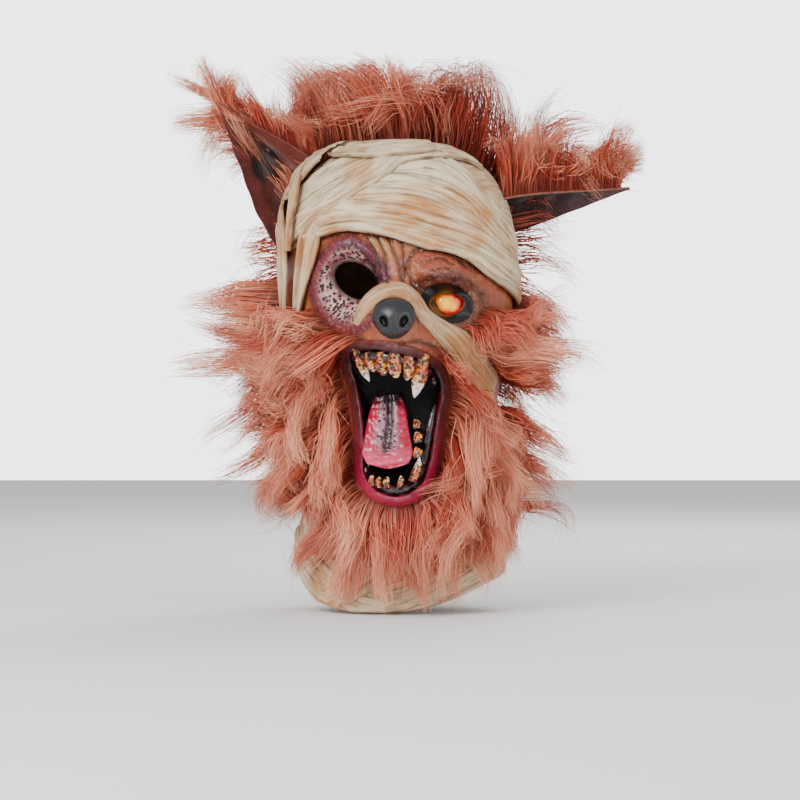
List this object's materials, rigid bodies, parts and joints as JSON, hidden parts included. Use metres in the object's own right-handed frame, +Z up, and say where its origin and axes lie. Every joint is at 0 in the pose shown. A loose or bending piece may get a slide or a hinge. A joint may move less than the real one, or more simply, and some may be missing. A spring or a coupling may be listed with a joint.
{
  "type": "werewolf mask",
  "caption": "Over-the-head werewolf mask with an open mouth of fangs, one glowing eye, bandage wraps round head and neck, and glued fur.",
  "frame": {"origin": "where the crown of the wearer's head touches the inside of the shell", "axes": "+Z up, the face looks along -Y, +X towards the wearer's left ear"},
  "size_m": [0.4406, 0.3089, 0.527],
  "materials": {
    "painted_latex": "cast latex, airbrushed terracotta, brown and crimson",
    "ear_latex": "cast latex, painted maroon inside",
    "eye_lens": "clear gloss over yellow to red",
    "nose_latex": "satin charcoal black",
    "lip_latex": "gloss magenta lips, black gums and throat",
    "tongue_latex": "gloss pink with grey-black centre",
    "tooth_enamel": "glossy ivory stained orange and brown",
    "bandage_cloth": "latex-dipped cotton bandage, cream with ochre stains",
    "fur_fibre": "long ginger-salmon synthetic hair"
  },
  "bodies": {
    "root": {"mask_shell": "painted_latex", "right_ear": "ear_latex", "left_ear": "ear_latex", "eyeball": "eye_lens", "nose": "nose_latex", "mouth_lining": "lip_latex", "tongue": "tongue_latex", "upper_teeth": "tooth_enamel", "lower_teeth": "tooth_enamel", "head_bandage": "bandage_cloth", "nose_bandage": "bandage_cloth", "neck_bandage": "bandage_cloth", "crown_fur": "fur_fibre", "back_fur": "fur_fibre", "right_ear_fur": "fur_fibre", "left_ear_fur": "fur_fibre", "right_cheek_fur": "fur_fibre", "left_cheek_fur": "fur_fibre", "beard_fur": "fur_fibre"}
  },
  "joints": []
}
